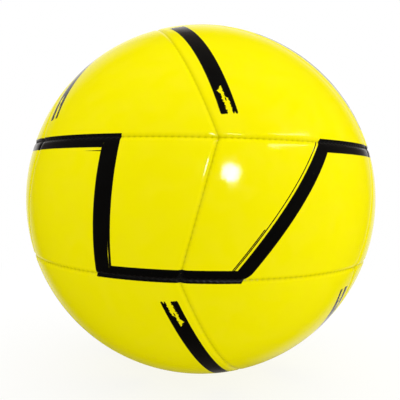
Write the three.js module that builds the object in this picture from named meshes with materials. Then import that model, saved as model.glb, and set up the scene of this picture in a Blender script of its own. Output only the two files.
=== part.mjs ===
// Futsal ball, size 4: a stitched cover of twenty panels over a foam-damped bladder with a valve.
// Millimetres, +Z up through the valve, origin at the centre of the ball, front of the ball towards -Y.

import * as THREE from 'three';

// The ball and its panel layout
const BALL_CIRCUMFERENCE = 630;
const BELT_PANELS = 6;
const BELT_HEIGHT = 61;          // seam to seam over the curve
const BELT_SEAM_SLANT = 15.5;    // sideways run of a belt seam, from the lower edge of the belt to the upper
const FAN_SEAM_LEAN = 19;        // degrees from a meridian, where a fan seam leaves the belt

// The panel laminate and its edges
const PANEL_THICKNESS = 4.6;
const EDGE_ROLL = 3.0;           // radius that the skin turns down with at a seam
const SEAM_GAP = 0.6;            // between the turned-in edges of two neighbours
const TURN_IN_DEPTH = 2.6;       // stitched edge below the inner face of a panel
const TURN_IN_WIDTH = 2.4;

// The seam thread
const THREAD_DIAMETER = 0.9;
const THREAD_CLEARANCE = 0.3;

// The bladder and its filling
const BLADDER_CLEARANCE = 0.5;   // to the turned-in edges
const BLADDER_WALL = 1.4;
const FOAM_DIAMETER = 110;
const FOAM_CLEARANCE = 0.35;

// The valve
const VALVE_NECK_DIAMETER = 7.2;
const VALVE_RECESS = 0.7;        // neck below the skin
const VALVE_FLANGE_DIAMETER = 24;
const VALVE_FLANGE_THICKNESS = 1.3;
const VALVE_TAIL_LENGTH = 7;     // below the flange, inside the bladder
const VALVE_BORE_DIAMETER = 4.2;
const VALVE_CLEARANCE = 0.3;     // all round, at every seat of the valve
const CORE_LENGTH = 11;
const CORE_LIP = 1.0;            // height of the lip that keeps the core in the neck
const CORE_LIP_WIDTH = 0.7;
const NEEDLE_MOUTH_DIAMETER = 2.0;
const NEEDLE_MOUTH_DEPTH = 2.2;
const PATCH_DIAMETER = 21;
const PATCH_THICKNESS = 1.0;

// Fineness of the facets
const STATION_LENGTH = 17;       // along a seam
const ROLL_STEPS = 3;
const CROWN_RINGS = [0.4, 0.75]; // shares of the way from the border of a panel to its middle
const LINING_RINGS = [0.5];      // the same on its inner face
const THREAD_SIDES = 6;
const BLADDER_SEGMENTS = 24;
const VALVE_SEGMENTS = 20;

const BALL_RADIUS = BALL_CIRCUMFERENCE / (2 * Math.PI);
const SECTOR = (2 * Math.PI) / BELT_PANELS;
const BELT_LATITUDE = BELT_HEIGHT / 2 / BALL_RADIUS;
const SLANT_LONGITUDE = BELT_SEAM_SLANT / 2 / (BALL_RADIUS * Math.cos(BELT_LATITUDE));
const LEAN = THREE.MathUtils.degToRad(FAN_SEAM_LEAN);

const FINISH = {
  skin: new THREE.MeshStandardMaterial({ color: 0xf3ec08, roughness: 0.28, metalness: 0 }),
  thread: new THREE.MeshStandardMaterial({ color: 0xc9c21a, roughness: 0.7, metalness: 0 }),
  bladder: new THREE.MeshStandardMaterial({ color: 0x232323, roughness: 0.6, metalness: 0 }),
  foam: new THREE.MeshStandardMaterial({ color: 0xd9d2c0, roughness: 0.95, metalness: 0 }),
  valve: new THREE.MeshStandardMaterial({ color: 0x1c1c1c, roughness: 0.5, metalness: 0 }),
  patch: new THREE.MeshStandardMaterial({ color: 0xe8e4d8, roughness: 0.9, metalness: 0 }),
};

const ball = new THREE.Group();

function addPiece(name, geometry, material) {
  const mesh = new THREE.Mesh(geometry, material);
  mesh.name = name;
  ball.add(mesh);
  return mesh;
}

// Directions from the centre of the ball. Longitude 0 faces the front and grows towards +X.
function direction(longitude, latitude) {
  const across = Math.cos(latitude);
  return new THREE.Vector3(
    across * Math.sin(longitude), -across * Math.cos(longitude), Math.sin(latitude));
}

function slerp(from, to, share) {
  const angle = from.angleTo(to);
  const a = Math.sin((1 - share) * angle) / Math.sin(angle);
  const b = Math.sin(share * angle) / Math.sin(angle);
  return from.clone().multiplyScalar(a).addScaledVector(to, b);
}

// Seam lines, each a list of stations from one end to the other
function stationCount(arcAngle) {
  return Math.max(2, Math.ceil((arcAngle * BALL_RADIUS) / STATION_LENGTH));
}

function straightSeam(from, to) {
  const steps = stationCount(from.angleTo(to));
  return Array.from({ length: steps + 1 }, (_, i) => slerp(from, to, i / steps));
}

function beltEdge(sector) {
  const start = sector * SECTOR + SLANT_LONGITUDE;
  const steps = stationCount(SECTOR * Math.cos(BELT_LATITUDE));
  return Array.from({ length: steps + 1 },
    (_, i) => direction(start + (SECTOR * i) / steps, BELT_LATITUDE));
}

// Half a turn about the front axis carries the upper half of the ball onto the lower half.
function turnOver(points) {
  return points.map((p) => new THREE.Vector3(-p.x, p.y, -p.z));
}

// Where a fan seam leaves the belt, and the two corners of the polar panel that lie on it.
// The seam is a great circle. It passes POLE_DISTANCE from the pole, touching there a circle that the
// polar panel is drawn round, and that panel's corners lie half a sector to either side of the touch.
const POLE_DISTANCE = Math.asin(Math.cos(BELT_LATITUDE) * Math.sin(LEAN));
const CORNER_DISTANCE = Math.atan(Math.tan(POLE_DISTANCE) / Math.cos(SECTOR / 2));
const TOUCH_LONGITUDE = Math.acos(Math.tan(BELT_LATITUDE) * Math.tan(POLE_DISTANCE));

function fanSeam(sector) {
  const foot = direction(sector * SECTOR + SLANT_LONGITUDE, BELT_LATITUDE);
  const touch = sector * SECTOR + SLANT_LONGITUDE - TOUCH_LONGITUDE;
  const near = direction(touch + SECTOR / 2, Math.PI / 2 - CORNER_DISTANCE);
  const far = direction(touch - SECTOR / 2, Math.PI / 2 - CORNER_DISTANCE);
  return { rise: straightSeam(foot, near), polar: straightSeam(near, far) };
}

function beltSeam(sector) {
  const upper = direction(sector * SECTOR + SLANT_LONGITUDE, BELT_LATITUDE);
  const lower = direction(sector * SECTOR - SLANT_LONGITUDE, -BELT_LATITUDE);
  return straightSeam(lower, upper);
}

// A closed outline from seam lines laid end to end, without the doubled end points
function outline(...seams) {
  return seams.flatMap((seam) => seam.slice(0, -1));
}

const reversed = (seam) => [...seam].reverse();

// For each point of an outline, the way that an offset of the edge moves it, longer at a corner.
// The outline runs anticlockwise seen from outside, so the inside lies on its left.
function insetDirections(points) {
  const count = points.length;
  const inward = (at, from, to) => at.clone().cross(to.clone().sub(from)).normalize();
  return points.map((point, i) => {
    const before = inward(point, points[(i + count - 1) % count], point);
    const after = inward(point, point, points[(i + 1) % count]);
    return before.clone().add(after).divideScalar(1 + before.dot(after));
  });
}

// A panel: rings of points lofted from the stitched edge over the rolled border to the middle, and a
// second set of rings on the inside, where the turned-in edge stands below the inner face.
function panelGeometry(points, holeRadius = 0) {
  const count = points.length;
  const insets = insetDirections(points);
  const middle = points.reduce((sum, p) => sum.add(p), new THREE.Vector3()).normalize();

  const edgeRing = (distance, depth) => points.map((point, i) => {
    const angle = (distance * insets[i].length()) / BALL_RADIUS;
    return point.clone().multiplyScalar(Math.cos(angle))
      .addScaledVector(insets[i].clone().normalize(), Math.sin(angle))
      .multiplyScalar(BALL_RADIUS - depth);
  });
  const crownRing = (edge, share, depth) => edge.map((p) =>
    slerp(p.clone().normalize(), middle, share).multiplyScalar(BALL_RADIUS - depth));
  const holeRing = (edge, depth) => edge.map((p) => {
    const heading = p.clone().addScaledVector(middle, -p.dot(middle)).normalize();
    const height = Math.sqrt((BALL_RADIUS - depth) ** 2 - holeRadius ** 2);
    return middle.clone().multiplyScalar(height).addScaledVector(heading, holeRadius);
  });

  const wall = SEAM_GAP / 2;
  const rolled = Array.from({ length: ROLL_STEPS + 1 }, (_, i) => {
    const turn = (i / ROLL_STEPS) * (Math.PI / 2);
    return edgeRing(wall + EDGE_ROLL * (1 - Math.cos(turn)), EDGE_ROLL * (1 - Math.sin(turn)));
  });
  const border = rolled[ROLL_STEPS];
  const turnInEnd = PANEL_THICKNESS + TURN_IN_DEPTH;
  const inside = edgeRing(wall + TURN_IN_WIDTH, PANEL_THICKNESS);
  const rings = [
    ...LINING_RINGS.map((share) => crownRing(inside, share, PANEL_THICKNESS)).reverse(),
    inside,
    edgeRing(wall + TURN_IN_WIDTH, turnInEnd),
    edgeRing(wall, turnInEnd),
    ...rolled,
    ...CROWN_RINGS.map((share) => crownRing(border, share, 0)),
  ];

  const positions = [];
  const index = [];
  if (holeRadius > 0) {
    rings.unshift(holeRing(inside, PANEL_THICKNESS));
    rings.push(holeRing(border, 0));
  }
  rings.flat().forEach((p) => positions.push(p.x, p.y, p.z));
  const at = (ring, i) => ring * count + (i % count);
  const bands = holeRadius > 0 ? rings.length : rings.length - 1;
  for (let ring = 0; ring < bands; ring += 1) {
    const next = (ring + 1) % rings.length;
    for (let i = 0; i < count; i += 1) {
      index.push(at(ring, i), at(ring, i + 1), at(next, i + 1));
      index.push(at(ring, i), at(next, i + 1), at(next, i));
    }
  }
  if (holeRadius === 0) {
    const inner = middle.clone().multiplyScalar(BALL_RADIUS - PANEL_THICKNESS);
    const outer = middle.clone().multiplyScalar(BALL_RADIUS);
    positions.push(inner.x, inner.y, inner.z, outer.x, outer.y, outer.z);
    const innerMiddle = rings.length * count;
    for (let i = 0; i < count; i += 1) {
      index.push(innerMiddle, at(0, i + 1), at(0, i));
      index.push(innerMiddle + 1, at(rings.length - 1, i), at(rings.length - 1, i + 1));
    }
  }
  const geometry = new THREE.BufferGeometry();
  geometry.setAttribute('position', new THREE.Float32BufferAttribute(positions, 3));
  geometry.setIndex(index);
  geometry.computeVertexNormals();
  return geometry;
}

// The thread lies in the groove between two rolled edges, clear of both.
const GROOVE_REACH = EDGE_ROLL + THREAD_DIAMETER / 2 + THREAD_CLEARANCE;
const GROOVE_HALF = EDGE_ROLL + SEAM_GAP / 2;
const THREAD_DEPTH = EDGE_ROLL - Math.sqrt(Math.max(0, GROOVE_REACH ** 2 - GROOVE_HALF ** 2));
const THREAD_RADIUS = BALL_RADIUS - THREAD_DEPTH;
const THREAD_SETBACK = THREAD_DIAMETER + THREAD_CLEARANCE;

class SeamCurve extends THREE.Curve {
  constructor(stations) {
    super();
    this.stations = stations;
  }

  getPoint(share, target = new THREE.Vector3()) {
    const place = share * (this.stations.length - 1);
    const step = Math.min(Math.floor(place), this.stations.length - 2);
    return target.lerpVectors(this.stations[step], this.stations[step + 1], place - step);
  }
}

// A run of thread along a seam's stations, ending short of the runs that it meets
function threadGeometry(seam) {
  const back = THREAD_SETBACK / BALL_RADIUS;
  const trim = (end, next) => slerp(end, next, back / end.angleTo(next));
  const stations = [
    trim(seam[0], seam[1]),
    ...seam.slice(1, -1),
    trim(seam[seam.length - 1], seam[seam.length - 2]),
  ].map((p) => p.clone().multiplyScalar(THREAD_RADIUS));
  const section = new THREE.Shape(Array.from({ length: THREAD_SIDES }, (_, i) => {
    const turn = (2 * Math.PI * i) / THREAD_SIDES;
    return new THREE.Vector2(Math.cos(turn), Math.sin(turn)).multiplyScalar(THREAD_DIAMETER / 2);
  }));
  return new THREE.ExtrudeGeometry(section,
    { steps: stations.length - 1, extrudePath: new SeamCurve(stations), bevelEnabled: false });
}

function beltThreadGeometry() {
  const steps = BELT_PANELS * (beltEdge(0).length - 1);
  return new THREE.TorusGeometry(
    THREAD_RADIUS * Math.cos(BELT_LATITUDE), THREAD_DIAMETER / 2, THREAD_SIDES, steps);
}

// A round piece from its outline in distance from the axis and height
function turned(profile, segments) {
  return new THREE.LatheGeometry(profile.map(([r, z]) => new THREE.Vector2(r, z)), segments)
    .rotateX(Math.PI / 2);
}

function arc(radius, fromAngle, toAngle, steps) {
  return Array.from({ length: steps + 1 }, (_, i) => {
    const angle = fromAngle + ((toAngle - fromAngle) * i) / steps;
    return [radius * Math.sin(angle), radius * Math.cos(angle)];
  });
}

// The cover
const VALVE_HOLE_RADIUS = VALVE_NECK_DIAMETER / 2 + VALVE_CLEARANCE;
const fans = Array.from({ length: BELT_PANELS }, (_, sector) => fanSeam(sector));
const polarOutline = outline(...fans.map((fan) => reversed(fan.polar)));

for (let sector = 0; sector < BELT_PANELS; sector += 1) {
  const next = fans[(sector + 1) % BELT_PANELS];
  const fanOutline = outline(
    beltEdge(sector), next.rise, next.polar, reversed(fans[sector].rise));
  const lowerEdge = turnOver(beltEdge(-sector - 1));
  const beltOutline = outline(
    reversed(lowerEdge), beltSeam(sector + 1), reversed(beltEdge(sector)), reversed(beltSeam(sector)));
  addPiece(`belt_panel_${sector + 1}`, panelGeometry(beltOutline), FINISH.skin);
  addPiece(`upper_panel_${sector + 1}`, panelGeometry(fanOutline), FINISH.skin);
  addPiece(`lower_panel_${sector + 1}`, panelGeometry(turnOver(fanOutline)), FINISH.skin);
}
addPiece('top_panel', panelGeometry(polarOutline, VALVE_HOLE_RADIUS), FINISH.skin);
addPiece('bottom_panel', panelGeometry(turnOver(polarOutline)), FINISH.skin);

// The seam thread
const beltHeight = THREAD_RADIUS * Math.sin(BELT_LATITUDE);
for (const [name, height, side] of [['upper', beltHeight, 1], ['lower', -beltHeight, -1]]) {
  const run = addPiece(`${name}_belt_thread`, beltThreadGeometry(), FINISH.thread);
  run.position.z = height;
  run.rotation.z = side * SLANT_LONGITUDE - Math.PI / 2;
}
fans.forEach((fan, sector) => {
  const seam = [...fan.rise, ...fan.polar.slice(1)];
  addPiece(`belt_seam_thread_${sector + 1}`, threadGeometry(beltSeam(sector)), FINISH.thread);
  addPiece(`upper_seam_thread_${sector + 1}`, threadGeometry(seam), FINISH.thread);
  addPiece(`lower_seam_thread_${sector + 1}`, threadGeometry(turnOver(seam)), FINISH.thread);
});

// The bladder, open at its mouth for the tail of the valve
const BLADDER_RADIUS = BALL_RADIUS - PANEL_THICKNESS - TURN_IN_DEPTH - BLADDER_CLEARANCE;
const BLADDER_INSIDE = BLADDER_RADIUS - BLADDER_WALL;
const MOUTH_RADIUS = VALVE_NECK_DIAMETER / 2 + VALVE_CLEARANCE;
const BLADDER_STEPS = BLADDER_SEGMENTS / 2;
addPiece('bladder', turned([
  ...arc(BLADDER_RADIUS, Math.PI, Math.asin(MOUTH_RADIUS / BLADDER_RADIUS), BLADDER_STEPS),
  ...arc(BLADDER_INSIDE, Math.asin(MOUTH_RADIUS / BLADDER_INSIDE), Math.PI, BLADDER_STEPS),
], BLADDER_SEGMENTS), FINISH.bladder);

// The damping foam lies loose on the bottom of the bladder.
const foam = addPiece('damping_foam',
  new THREE.SphereGeometry(FOAM_DIAMETER / 2, BLADDER_SEGMENTS, BLADDER_STEPS).rotateX(Math.PI / 2),
  FINISH.foam);
foam.position.z = -(BLADDER_INSIDE - FOAM_DIAMETER / 2 - FOAM_CLEARANCE);

// The valve, stacked on the mouth of the bladder: flange, patch, and the neck up through the top panel
const NECK_RADIUS = VALVE_NECK_DIAMETER / 2;
const BORE_RADIUS = VALVE_BORE_DIAMETER / 2;
const FLANGE_BOTTOM = BLADDER_RADIUS + VALVE_CLEARANCE;
const FLANGE_TOP = FLANGE_BOTTOM + VALVE_FLANGE_THICKNESS;
const NECK_TOP = BALL_RADIUS - VALVE_RECESS;
const LIP_RADIUS = BORE_RADIUS + CORE_LIP_WIDTH;
const LIP_SEAT = NECK_TOP - CORE_LIP - VALVE_CLEARANCE;
const onShell = (radius, r) => Math.sqrt(radius ** 2 - r ** 2);

addPiece('valve_housing', turned([
  [BORE_RADIUS, FLANGE_BOTTOM - VALVE_TAIL_LENGTH],
  [NECK_RADIUS, FLANGE_BOTTOM - VALVE_TAIL_LENGTH],
  [NECK_RADIUS, onShell(FLANGE_BOTTOM, NECK_RADIUS)],
  [VALVE_FLANGE_DIAMETER / 2, onShell(FLANGE_BOTTOM, VALVE_FLANGE_DIAMETER / 2)],
  [VALVE_FLANGE_DIAMETER / 2 - VALVE_FLANGE_THICKNESS,
    onShell(FLANGE_TOP, VALVE_FLANGE_DIAMETER / 2 - VALVE_FLANGE_THICKNESS)],
  [NECK_RADIUS, onShell(FLANGE_TOP, NECK_RADIUS)],
  [NECK_RADIUS, NECK_TOP],
  [LIP_RADIUS + VALVE_CLEARANCE, NECK_TOP],
  [LIP_RADIUS + VALVE_CLEARANCE, LIP_SEAT],
  [BORE_RADIUS, LIP_SEAT],
  [BORE_RADIUS, FLANGE_BOTTOM - VALVE_TAIL_LENGTH],
], VALVE_SEGMENTS), FINISH.valve);

const CORE_RADIUS = BORE_RADIUS - VALVE_CLEARANCE;
const LIP_BOTTOM = LIP_SEAT + VALVE_CLEARANCE;
addPiece('valve_core', turned([
  [0, NECK_TOP - CORE_LENGTH],
  [CORE_RADIUS, NECK_TOP - CORE_LENGTH],
  [CORE_RADIUS, LIP_BOTTOM],
  [LIP_RADIUS, LIP_BOTTOM],
  [LIP_RADIUS, NECK_TOP],
  [NEEDLE_MOUTH_DIAMETER / 2, NECK_TOP],
  [0, NECK_TOP - NEEDLE_MOUTH_DEPTH],
], VALVE_SEGMENTS), FINISH.valve);

const PATCH_TOP = BALL_RADIUS - PANEL_THICKNESS - VALVE_CLEARANCE;
const PATCH_BOTTOM = PATCH_TOP - PATCH_THICKNESS;
addPiece('valve_patch', turned([
  [VALVE_HOLE_RADIUS, onShell(PATCH_BOTTOM, VALVE_HOLE_RADIUS)],
  [PATCH_DIAMETER / 2, onShell(PATCH_BOTTOM, PATCH_DIAMETER / 2)],
  [PATCH_DIAMETER / 2, onShell(PATCH_TOP, PATCH_DIAMETER / 2)],
  [VALVE_HOLE_RADIUS, onShell(PATCH_TOP, VALVE_HOLE_RADIUS)],
  [VALVE_HOLE_RADIUS, onShell(PATCH_BOTTOM, VALVE_HOLE_RADIUS)],
], VALVE_SEGMENTS), FINISH.patch);

export default ball;
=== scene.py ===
"""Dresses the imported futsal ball: stitched panels with rolled edges and printed stripes, seam thread,
valve, inner finishes and a plain studio. Metres, +Z up through the valve, front of the ball towards -Y."""

import math
from collections import namedtuple
from functools import reduce

import bpy
import numpy as np
from bpy.props import FloatProperty, FloatVectorProperty, IntProperty, PointerProperty
from mathutils import Matrix, Vector


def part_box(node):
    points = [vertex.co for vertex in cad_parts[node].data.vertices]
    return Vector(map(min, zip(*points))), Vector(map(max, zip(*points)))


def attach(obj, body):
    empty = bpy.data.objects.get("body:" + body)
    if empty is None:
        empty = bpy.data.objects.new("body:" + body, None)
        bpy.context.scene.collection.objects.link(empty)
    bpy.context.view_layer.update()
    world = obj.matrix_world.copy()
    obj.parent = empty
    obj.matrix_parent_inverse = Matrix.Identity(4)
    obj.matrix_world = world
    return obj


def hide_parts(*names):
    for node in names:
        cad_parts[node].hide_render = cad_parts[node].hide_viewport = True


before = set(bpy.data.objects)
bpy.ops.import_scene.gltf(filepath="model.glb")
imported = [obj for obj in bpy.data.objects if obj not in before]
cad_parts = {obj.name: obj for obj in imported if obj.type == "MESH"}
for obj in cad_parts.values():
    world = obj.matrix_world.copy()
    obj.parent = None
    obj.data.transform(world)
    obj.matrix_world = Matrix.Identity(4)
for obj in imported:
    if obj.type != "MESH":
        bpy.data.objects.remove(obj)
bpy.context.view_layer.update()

bl_info = {
    "name": "Futsal ball",
    "version": (1, 0, 0),
    "blender": (4, 5, 0),
    "location": "View3D > Sidebar > Ball",
    "description": "Stitched cover, thread, valve and studio for a size 4 futsal ball",
    "category": "Add Mesh",
}

MM = 0.001
BODY = "root"
BALL_RADIUS = -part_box("bottom_panel")[0].z
BELT_PANELS = sum(name.startswith("belt_panel_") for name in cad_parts)
SECTOR = 2 * math.pi / BELT_PANELS
UP = np.array([0.0, 0.0, 1.0])
TURN_OVER = np.array([-1.0, 1.0, -1.0])  # half a turn about the front axis
NO_TRIANGLES = np.zeros((0, 3), int)


# Sizes and colours that a user would change

def length(name, description, millimetres):
    """A property that holds a length, given in millimetres."""
    return FloatProperty(
        name=name, description=description, default=millimetres * MM, unit="LENGTH", precision=5)


def angle(name, description, degrees):
    """A property that holds an angle, given in degrees."""
    return FloatProperty(name=name, description=description, default=math.radians(degrees), subtype="ANGLE")


def share(name, description, default):
    """A property that holds a share from 0 to 1."""
    return FloatProperty(
        name=name, description=description, default=default, min=0, max=1, subtype="FACTOR")


def amount(name, description, default):
    """A property that holds a plain number."""
    return FloatProperty(name=name, description=description, default=default)


def power(name, description, watts):
    """A property that holds the power of a lamp, given in watts."""
    return FloatProperty(name=name, description=description, default=watts, unit="POWER")


def whole(name, description, default, least):
    """A property that holds a whole number."""
    return IntProperty(name=name, description=description, default=default, min=least)


def vector(name, description, default):
    """A property that holds a number for each axis."""
    return FloatVectorProperty(name=name, description=description, default=default, size=3, subtype="XYZ")


def colour(name, description, default):
    """A property that holds a linear colour."""
    return FloatVectorProperty(
        name=name, description=description, default=default, size=3, min=0, max=1, subtype="COLOR")


class BallCover(bpy.types.PropertyGroup):
    """Layout of the seams, and the cross-section of a panel at its edge."""

    radius: length("Ball radius", "From the centre to the crown of a panel", BALL_RADIUS / MM)
    belt_height: length("Belt height", "Seam to seam over the curve", 61)
    belt_seam_slant: length("Belt seam slant", "Sideways run of a belt seam", 15.5)
    fan_seam_lean: angle("Fan seam lean", "From a meridian, where a fan seam leaves the belt", 19)
    panel_thickness: length("Panel thickness", "Skin, foam and lining together", 4.6)
    turn_in_depth: length("Turn-in depth", "Stitched edge below the inner face", 2.6)
    turn_in_width: length("Turn-in width", "Width of the stitched edge", 2.4)
    edge_gap: length("Edge gap", "Between two stitched edges", 0.03)
    groove_half_width: length("Groove half width", "From a seam to where the skin is flat", 1.7)
    groove_depth: length("Groove depth", "At the seam, below the crown", 0.6)
    groove_curve: amount("Groove curve", "Power that shapes the groove: 1 is a plain V", 1.3)
    crease_depth: length("Crease depth", "Fine crease at the bottom of the groove", 0.03)
    crease_reach: length("Crease reach", "How far from the seam the crease fades", 0.40)
    wall_top: length("Wall top", "Below the crown, where the skin rolls into the stitched edge", 3.0)
    shoulder_sag: length("Shoulder sag", "How far the tight seam draws in the skin beside it", 0.05)
    shoulder_reach: length("Shoulder reach", "How far from the seam that sag fades", 4.5)
    corner_softness: length("Corner softness", "How widely the grooves of a corner run together", 0.9)
    corner_pit: length("Corner pit", "Extra depth where seams meet", 0.5)
    valve_hole_radius: length("Valve hole radius", "Of the hole in the top panel", 3.9)
    valve_rim: length("Valve rim", "Radius that the skin rolls into the valve hole with", 0.6)
    valve_dimple: length("Valve dimple", "How far the skin dips round the valve", 0.45)
    dimple_spread: amount("Dimple spread", "Reach of that dip, in radii of the hole", 2.2)
    crown_rings: whole("Crown rings", "Rings of points between a panel's border and its middle", 26, 4)


class BallStitching(bpy.types.PropertyGroup):
    """The stitches that pull the panels together."""

    pitch: length("Stitch pitch", "Between two stitches along a seam", 2.8)
    points_per_stitch: whole("Points per stitch", "Grid points along a seam for each stitch", 5, 3)
    pucker_depth: length("Pucker depth", "How far a stitch pulls the edge in", 0.28)
    pucker_reach: length("Pucker reach", "How far from the seam a pucker fades", 0.8)
    belt_pull: share("Belt pull", "Of a belt seam's stitches, against those of the belt's edges", 0.7)
    fan_pull: share("Fan pull", "Of a fan seam's stitches, against those of the belt's edges", 0.35)
    thread_diameter: length("Thread diameter", "Of the waxed thread", 0.46)
    thread_depth: length("Thread depth", "Middle of a stitch below the crown", 1.4)
    stitch_width: length("Stitch width", "Across the groove, into both edges", 1.8)
    stitch_slant: length("Stitch slant", "Along the seam, from one end of a stitch to the other", 0.5)
    stitch_arch: length("Stitch arch", "How far the ends of a stitch lie below its middle", 0.55)
    end_taper: share("End taper", "How much thinner a stitch is at its ends", 0.35)


class BallPrint(bpy.types.PropertyGroup):
    """Plain black stripes: a stepped band round the belt and a straight stripe on each fan panel."""

    top_run: length("Top run", "Width of the band along the upper edge of the belt", 4.9)
    bottom_run: length("Bottom run", "Width of the band along the lower edge of the belt", 4.7)
    edge_overlap: length("Edge overlap", "How far the band runs past the belt's edges", 1.5)
    leg_place: length("Leg place", "Upright leg from the middle seam, along the equator", -42.5)
    leg_width: length("Leg width", "Of the upright leg", 9.0)
    leg_lean: angle("Leg lean", "Of the upright leg from a meridian", -3.4)
    slant_place: length("Slant place", "Slanted leg from the middle seam, along the equator", 40.2)
    slant_width: length("Slant width", "Of the slanted leg, square to it", 6.5)
    slant_lean: angle("Slant lean", "Of the slanted leg from a meridian", 36.0)
    corner_cut: length("Corner cut", "How far the slanted leg's lower corner is drawn in", 1.1)
    corner_height: length("Corner height", "How far above the belt's lower edge that ends", 3.2)
    pinstripe_gap: length("Pinstripe gap", "From the slanted leg to the line beside it", 1.2)
    pinstripe_width: length("Pinstripe width", "Of that line", 0.5)
    pinstripe_double: length("Pinstripe double", "Below the equator, where that line is doubled", 8.0)
    tail_height: length("Tail height", "Of the fine line beside the upright leg, above the equator", 24.1)
    tail_length: length("Tail length", "Of that line, which tapers away from the leg", 10)
    slit_depth: length("Slit depth", "Of the hairline slit in the upright leg, below the equator", 21.0)
    slit_inset: length("Slit inset", "From that slit to the leg's inner side", 1.3)
    slit_length: length("Slit length", "Of that slit, which tapers to its ends", 8.0)
    slit_width: length("Slit width", "In the middle of that slit", 0.22)
    stripe_width: length("Stripe width", "Of a fan panel's stripe", 7.6)
    stripe_inset: length("Stripe inset", "Middle of the stripe from the seam, at its ends", 8.1)
    stripe_bow: length("Stripe bow", "How much further from the seam an upper stripe's middle is", 1.6)
    lower_bow: length("Lower bow", "How much further from the seam a lower stripe's middle is", -0.6)
    stripe_start: length("Stripe start", "From the belt seam", 8.7)
    stripe_end: length("Stripe end", "From the belt seam", 87)
    flake_length: length("Flake length", "How far the worn gap runs up the stripe", 23.2)


class BallValve(bpy.types.PropertyGroup):
    """Profiles of the valve's housing and core."""

    neck_radius: length("Neck radius", "Of the housing's neck and tail", 3.6)
    bore_radius: length("Bore radius", "Of the housing's bore", 2.1)
    core_radius: length("Core radius", "Of the core in the bore", 1.8)
    lip_radius: length("Lip radius", "Of the lip that keeps the core in the neck", 2.8)
    lip_height: length("Lip height", "Of that lip", 1.0)
    clearance: length("Clearance", "Round the lip and under it", 0.3)
    mouth_radius: length("Mouth radius", "Of the funnel for the needle", 1.0)
    mouth_bottom: length("Mouth bottom", "Radius at the bottom of that funnel", 0.25)
    mouth_depth: length("Mouth depth", "Of that funnel", 2.2)
    flange_thickness: length("Flange thickness", "Of the flange on the bladder", 1.3)
    tail_length: length("Tail length", "Of the housing below its flange", 7.0)
    housing_rounding: length("Housing rounding", "Of the housing's edges", 0.35)
    core_rounding: length("Core rounding", "Of the core's edges", 0.3)
    segments: whole("Segments", "Round the axis", 72, 12)


class BallFinish(bpy.types.PropertyGroup):
    """Colours and gloss."""

    skin: colour("Skin", "Fluorescent yellow", (0.95, 0.845, 0.0))
    skin_shade: colour("Skin shade", "Deeper yellow of the clouds", (0.84, 0.73, 0.0))
    # Painted shade: this olive darkens the skin in the grooves and stitch holes, more where they are deeper,
    # in place of the shade that falls there.
    crease: colour("Crease", "Olive of the stitch holes", (0.68, 0.61, 0.0))
    skin_sheen: share("Skin sheen", "How strong the skin's own colour is at a slant", 0.55)
    roughness: share("Roughness", "Of the glossy skin", 0.09)
    ink: colour("Ink", "Black of the printed stripes", (0.003, 0.0028, 0.0025))
    ink_wear: share("Ink wear", "How much of the ink is rubbed off in its worn spots", 0.15)
    ink_sheen: share("Ink sheen", "How strong the print's warm sheen is at a slant", 0.14)
    ink_sheen_tint: colour("Ink sheen tint", "Of that sheen", (0.9, 0.72, 0.62))
    thread: colour("Thread", "Yellow of the seam thread", (0.88, 0.79, 0.01))
    rubber: colour("Rubber", "Black of the valve and bladder", (0.016, 0.016, 0.017))
    foam: colour("Foam", "Of the soft filling", (0.70, 0.65, 0.52))
    cloth: colour("Cloth", "Of the patch behind the valve", (0.80, 0.77, 0.68))


class BallStage(bpy.types.PropertyGroup):
    """Camera, floor and light."""

    camera_distance: length("Camera distance", "From the centre of the ball", 3.0 * BALL_RADIUS / MM)
    camera_elevation: angle("Camera elevation", "Above the horizon", 2.5)
    camera_right: angle("Camera right", "Turned about the ball from its front", 0.45)
    aim_right: angle("Aim right", "Of the ball's centre", -0.085)
    aim_up: angle("Aim up", "Above the ball's centre", -0.10)
    camera_roll: angle("Camera roll", "Anticlockwise, seen from behind the camera", 1.1)
    outline_share: share("Outline share", "Width of the ball in the picture", 0.874)
    floor_radius: length("Floor radius", "Of the pale floor", 3000)
    lamp_distance: length("Lamp distance", "From the centre of the ball to both lamps", 900)
    key_diameter: length("Key diameter", "Of the round key lamp", 152)
    key_right: angle("Key right", "Of the camera's direction", 16.4)
    key_up: angle("Key up", "Above the camera's direction", 15.3)
    key_power: power("Key power", "Of the round key lamp", 2.3)
    strip_length: length("Strip length", "Of the narrow lamp on the right", 390)
    strip_width: length("Strip width", "Of the narrow lamp on the right", 42)
    strip_way: vector("Strip way", "From the ball to the narrow lamp", (0.729, -0.436, 0.5275))
    strip_power: power("Strip power", "Of the narrow lamp on the right", 0.5)
    studio_light: amount("Studio light", "Soft light from all round", 1.185)
    studio_ring: amount("Studio ring", "How much weaker it is from the front and back", 0.48)
    studio_sides: amount("Studio sides", "How much stronger it is from the left and right", 0.3)
    studio_slope: vector("Studio slope", "How much it grows to the right, back and top", (0.26, 0.05, 0.28))
    dark_gloss: share("Dark gloss", "How bright gloss sees the studio beside the backdrop", 0.006)
    floor_gloss: share("Floor gloss", "How bright it sees the backdrop near the floor", 0.15)
    streak_gloss: share("Streak gloss", "How bright it sees the slanting streak", 0.55)


# Surfaces

# A side of a panel lies in a plane, given by its normal and by its angle from the centre, base. Its
# stitches are counted from start with a pitch, on an arc of radius scale. Count is the number of grid
# points along it, and pull the strength of its stitches.
Side = namedtuple("Side", "normal base start scale pitch count pull")


def unit(vectors):
    """Vectors brought to length one."""
    return vectors / np.linalg.norm(vectors, axis=-1, keepdims=True)


def direction(longitude, latitude):
    """Unit vector at a longitude from the front, growing towards +X, and a latitude above the equator."""
    across = np.cos(latitude)
    return np.stack([across * np.sin(longitude), -across * np.cos(longitude), np.sin(latitude)], -1)


def slerp(start, end, shares):
    """Points on the great circles from start to end: each end weighted by the sine of what is left."""
    reach = np.arccos(np.clip((start * end).sum(-1, keepdims=True), -1, 1))
    return (np.sin((1 - shares) * reach) * start + np.sin(shares * reach) * end) / np.sin(reach)


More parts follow.
